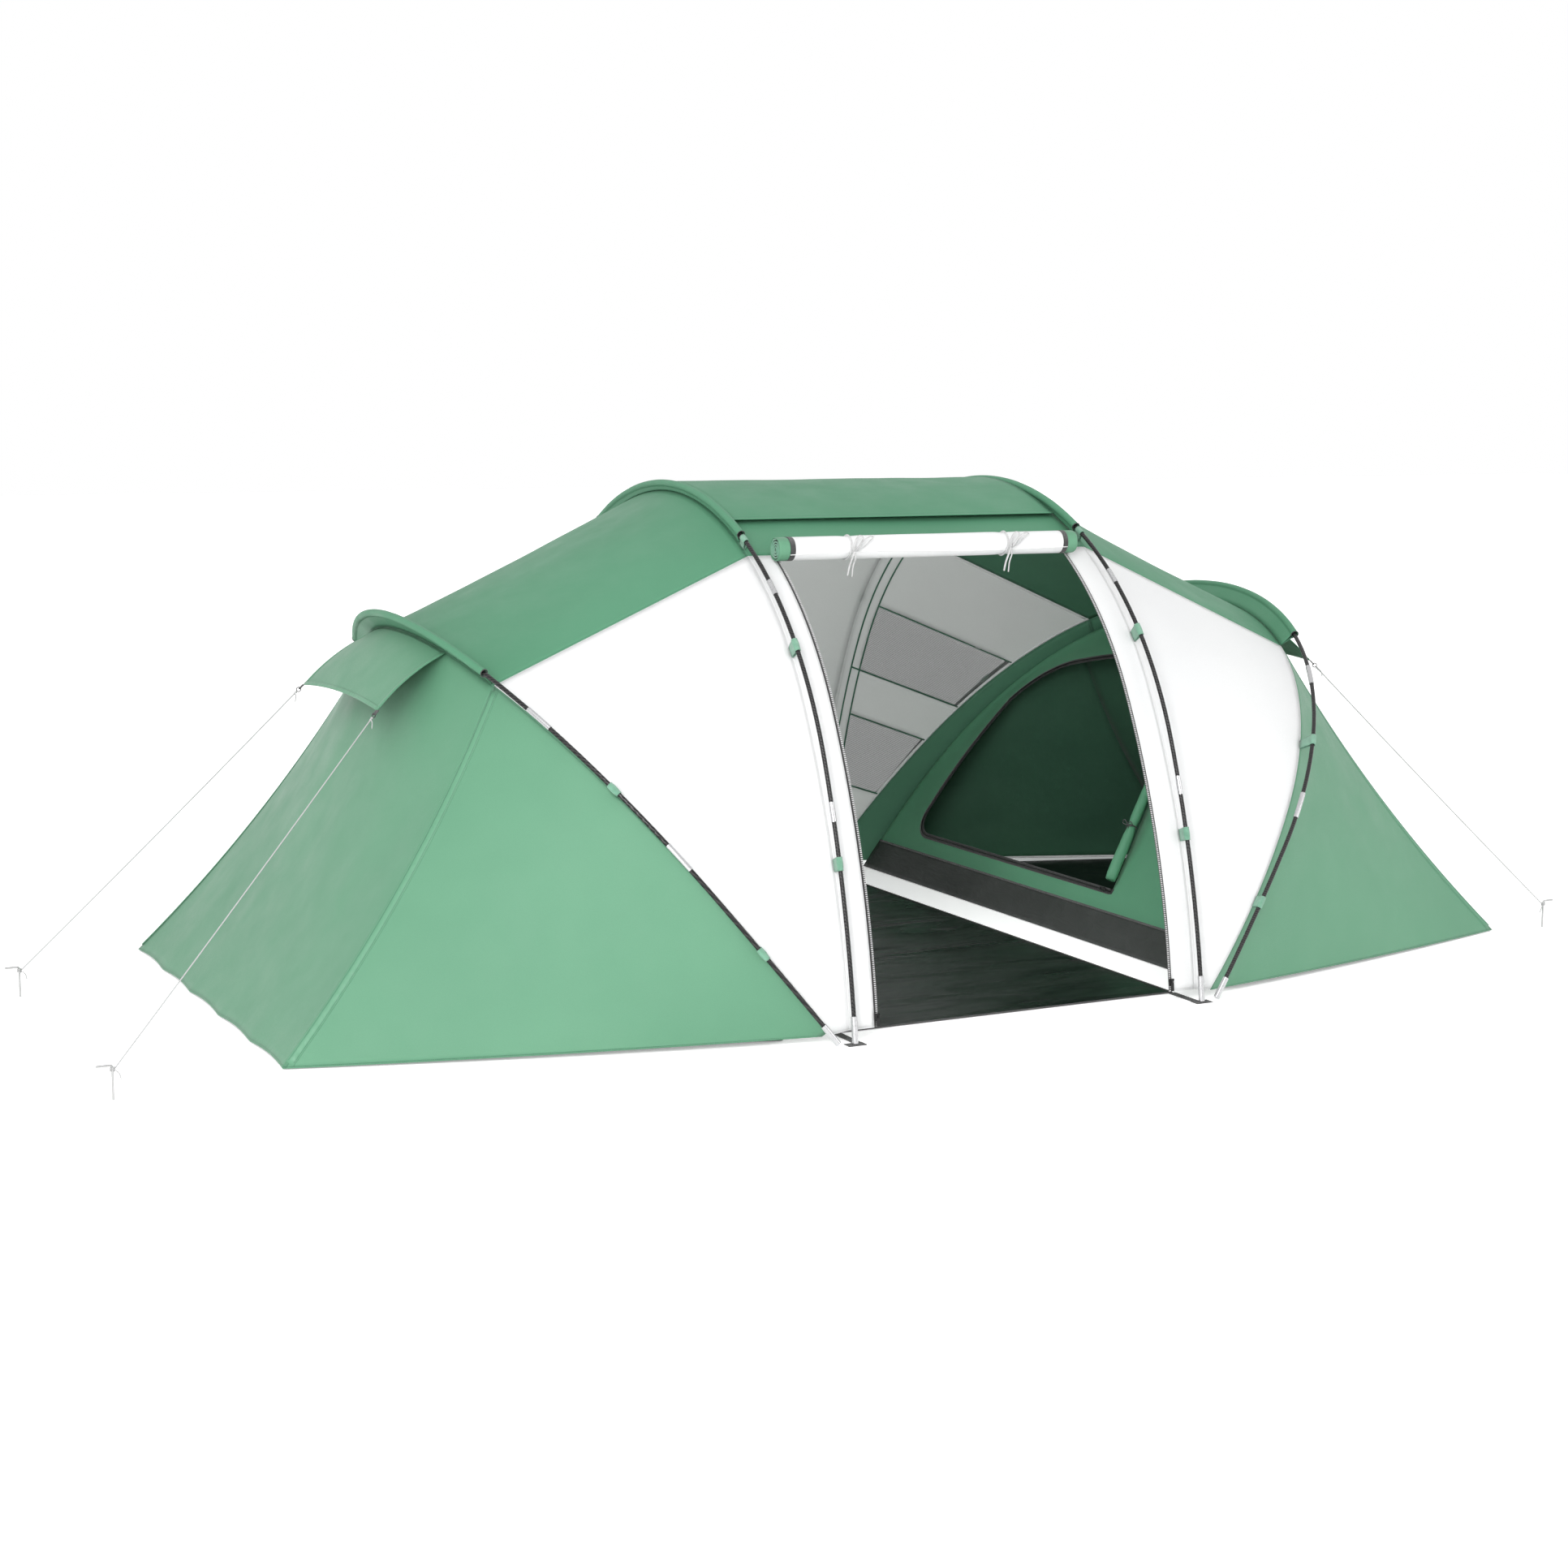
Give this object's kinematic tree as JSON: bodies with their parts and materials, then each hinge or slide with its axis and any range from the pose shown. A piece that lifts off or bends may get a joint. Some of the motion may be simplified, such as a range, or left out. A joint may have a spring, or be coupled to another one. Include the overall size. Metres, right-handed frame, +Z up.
{
  "type": "two-room tunnel tent on hoop poles",
  "caption": "Long two-room tunnel tent on four hoop poles, with a zipped middle doorway rolled open, a bedroom in each sloping end, mesh windows and guyed visors.",
  "frame": {"origin": "on the ground under the middle of the tent", "axes": "+X along the tent to the right as seen from the doorway, +Y towards the back wall (the doorway faces -Y), +Z up"},
  "size_m": [5.024, 2.634, 1.559],
  "materials": {
    "green_fabric": "satin coated polyester",
    "white_fabric": "satin coated polyester",
    "green_liner": "soft matt polyester",
    "black_fabric": "glossy coated polyethylene weave",
    "dark_mesh": "fine open mesh",
    "pole_fibreglass": "gloss glass fibre",
    "ferrule_metal": "brushed",
    "green_webbing": "woven tape",
    "black_webbing": "woven tape",
    "grey_rope": "braided",
    "peg_steel": "plated wire",
    "zip_tape": "woven tape with a moulded coil",
    "zip_metal": "black enamel"
  },
  "bodies": {
    "tent": {"back_wall_centre": "white_fabric", "back_wall_left": "white_fabric", "back_wall_right": "white_fabric", "bedroom_canopy_left": "green_liner", "bedroom_canopy_right": "green_liner", "bedroom_roll_left": "green_liner", "bedroom_roll_right": "green_liner", "bedroom_tub_left": "black_fabric", "bedroom_tub_right": "black_fabric", "bedroom_wall_left": "green_liner", "bedroom_wall_right": "green_liner", "bedroom_zips": "zip_tape", "door_strip_left": "white_fabric", "door_strip_right": "white_fabric", "door_zips": "zip_tape", "end_panel_left": "green_fabric", "end_panel_right": "green_fabric", "foot_tips": "ferrule_metal", "foot_webbing": "black_webbing", "front_wall_left": "white_fabric", "front_wall_right": "white_fabric", "groundsheet": "black_fabric", "gusset_back_left": "green_fabric", "gusset_back_right": "green_fabric", "gusset_front_left": "green_fabric", "gusset_front_right": "green_fabric", "guy_back_left": "grey_rope", "guy_back_right": "grey_rope", "guy_front_left": "grey_rope", "guy_front_right": "grey_rope", "guy_loops": "black_webbing", "mesh_inserts_left": "dark_mesh", "mesh_inserts_right": "dark_mesh", "pegs": "peg_steel", "pole_clips": "green_webbing", "pole_ferrules": "ferrule_metal", "poles_centre_left": "pole_fibreglass", "poles_centre_right": "pole_fibreglass", "poles_end_left": "pole_fibreglass", "poles_end_right": "pole_fibreglass", "rain_flap": "green_fabric", "roof_centre": "green_fabric", "roof_left": "green_fabric", "roof_right": "green_fabric", "sleeve_centre_left": "green_fabric", "sleeve_centre_right": "green_fabric", "sleeve_end_left": "green_fabric", "sleeve_end_right": "green_fabric", "visor_left": "green_fabric", "visor_right": "green_fabric"},
    "door_slider_left": {"door_slider_left": "zip_metal"},
    "door_pull_left": {"door_pull_left": "zip_metal"},
    "bedroom_slider_left": {"bedroom_slider_left": "zip_metal"},
    "bedroom_pull_left": {"bedroom_pull_left": "zip_metal"},
    "door_slider_right": {"door_slider_right": "zip_metal"},
    "door_pull_right": {"door_pull_right": "zip_metal"},
    "bedroom_slider_right": {"bedroom_slider_right": "zip_metal"},
    "bedroom_pull_right": {"bedroom_pull_right": "zip_metal"},
    "door_roll": {"door_roll": "white_fabric"}
  },
  "joints": [
    {"name": "door_zip_left", "type": "hinge", "parent": "tent", "child": "door_slider_left", "pos_m": [-0.508, 1.23346, -0.24923], "axis": [-1, 0, 0], "range_deg": [0, 20.2]},
    {"name": "door_pull_swing_left", "type": "hinge", "parent": "door_slider_left", "child": "door_pull_left", "pos_m": [-0.508, -1.26789, 0.07109], "axis": [-1, 0, 0], "range_deg": [0, 150]},
    {"name": "bedroom_zip_left", "type": "slide", "parent": "tent", "child": "bedroom_slider_left", "axis": [0, 1, 0], "range_m": [0, 1.19]},
    {"name": "bedroom_pull_swing_left", "type": "hinge", "parent": "bedroom_slider_left", "child": "bedroom_pull_left", "pos_m": [-0.86208, -0.334, 0.16611], "axis": [-0.5592, 0, 0.829], "range_deg": [0, 150]},
    {"name": "door_zip_right", "type": "hinge", "parent": "tent", "child": "door_slider_right", "pos_m": [0.508, 1.23346, -0.24923], "axis": [-1, 0, 0], "range_deg": [0, 20.2]},
    {"name": "door_pull_swing_right", "type": "hinge", "parent": "door_slider_right", "child": "door_pull_right", "pos_m": [0.508, -1.26789, 0.07109], "axis": [-1, 0, 0], "range_deg": [0, 150]},
    {"name": "bedroom_zip_right", "type": "slide", "parent": "tent", "child": "bedroom_slider_right", "axis": [0, 1, 0], "range_m": [0, 1.19]},
    {"name": "bedroom_pull_swing_right", "type": "hinge", "parent": "bedroom_slider_right", "child": "bedroom_pull_right", "pos_m": [0.86208, -0.334, 0.16611], "axis": [-0.5592, 0, -0.829], "range_deg": [0, 150]},
    {"name": "door_roll_swing", "type": "hinge", "parent": "tent", "child": "door_roll", "pos_m": [0, -0.574, 1.364], "axis": [-1, 0, 0], "range_deg": [0, 25]}
  ]
}
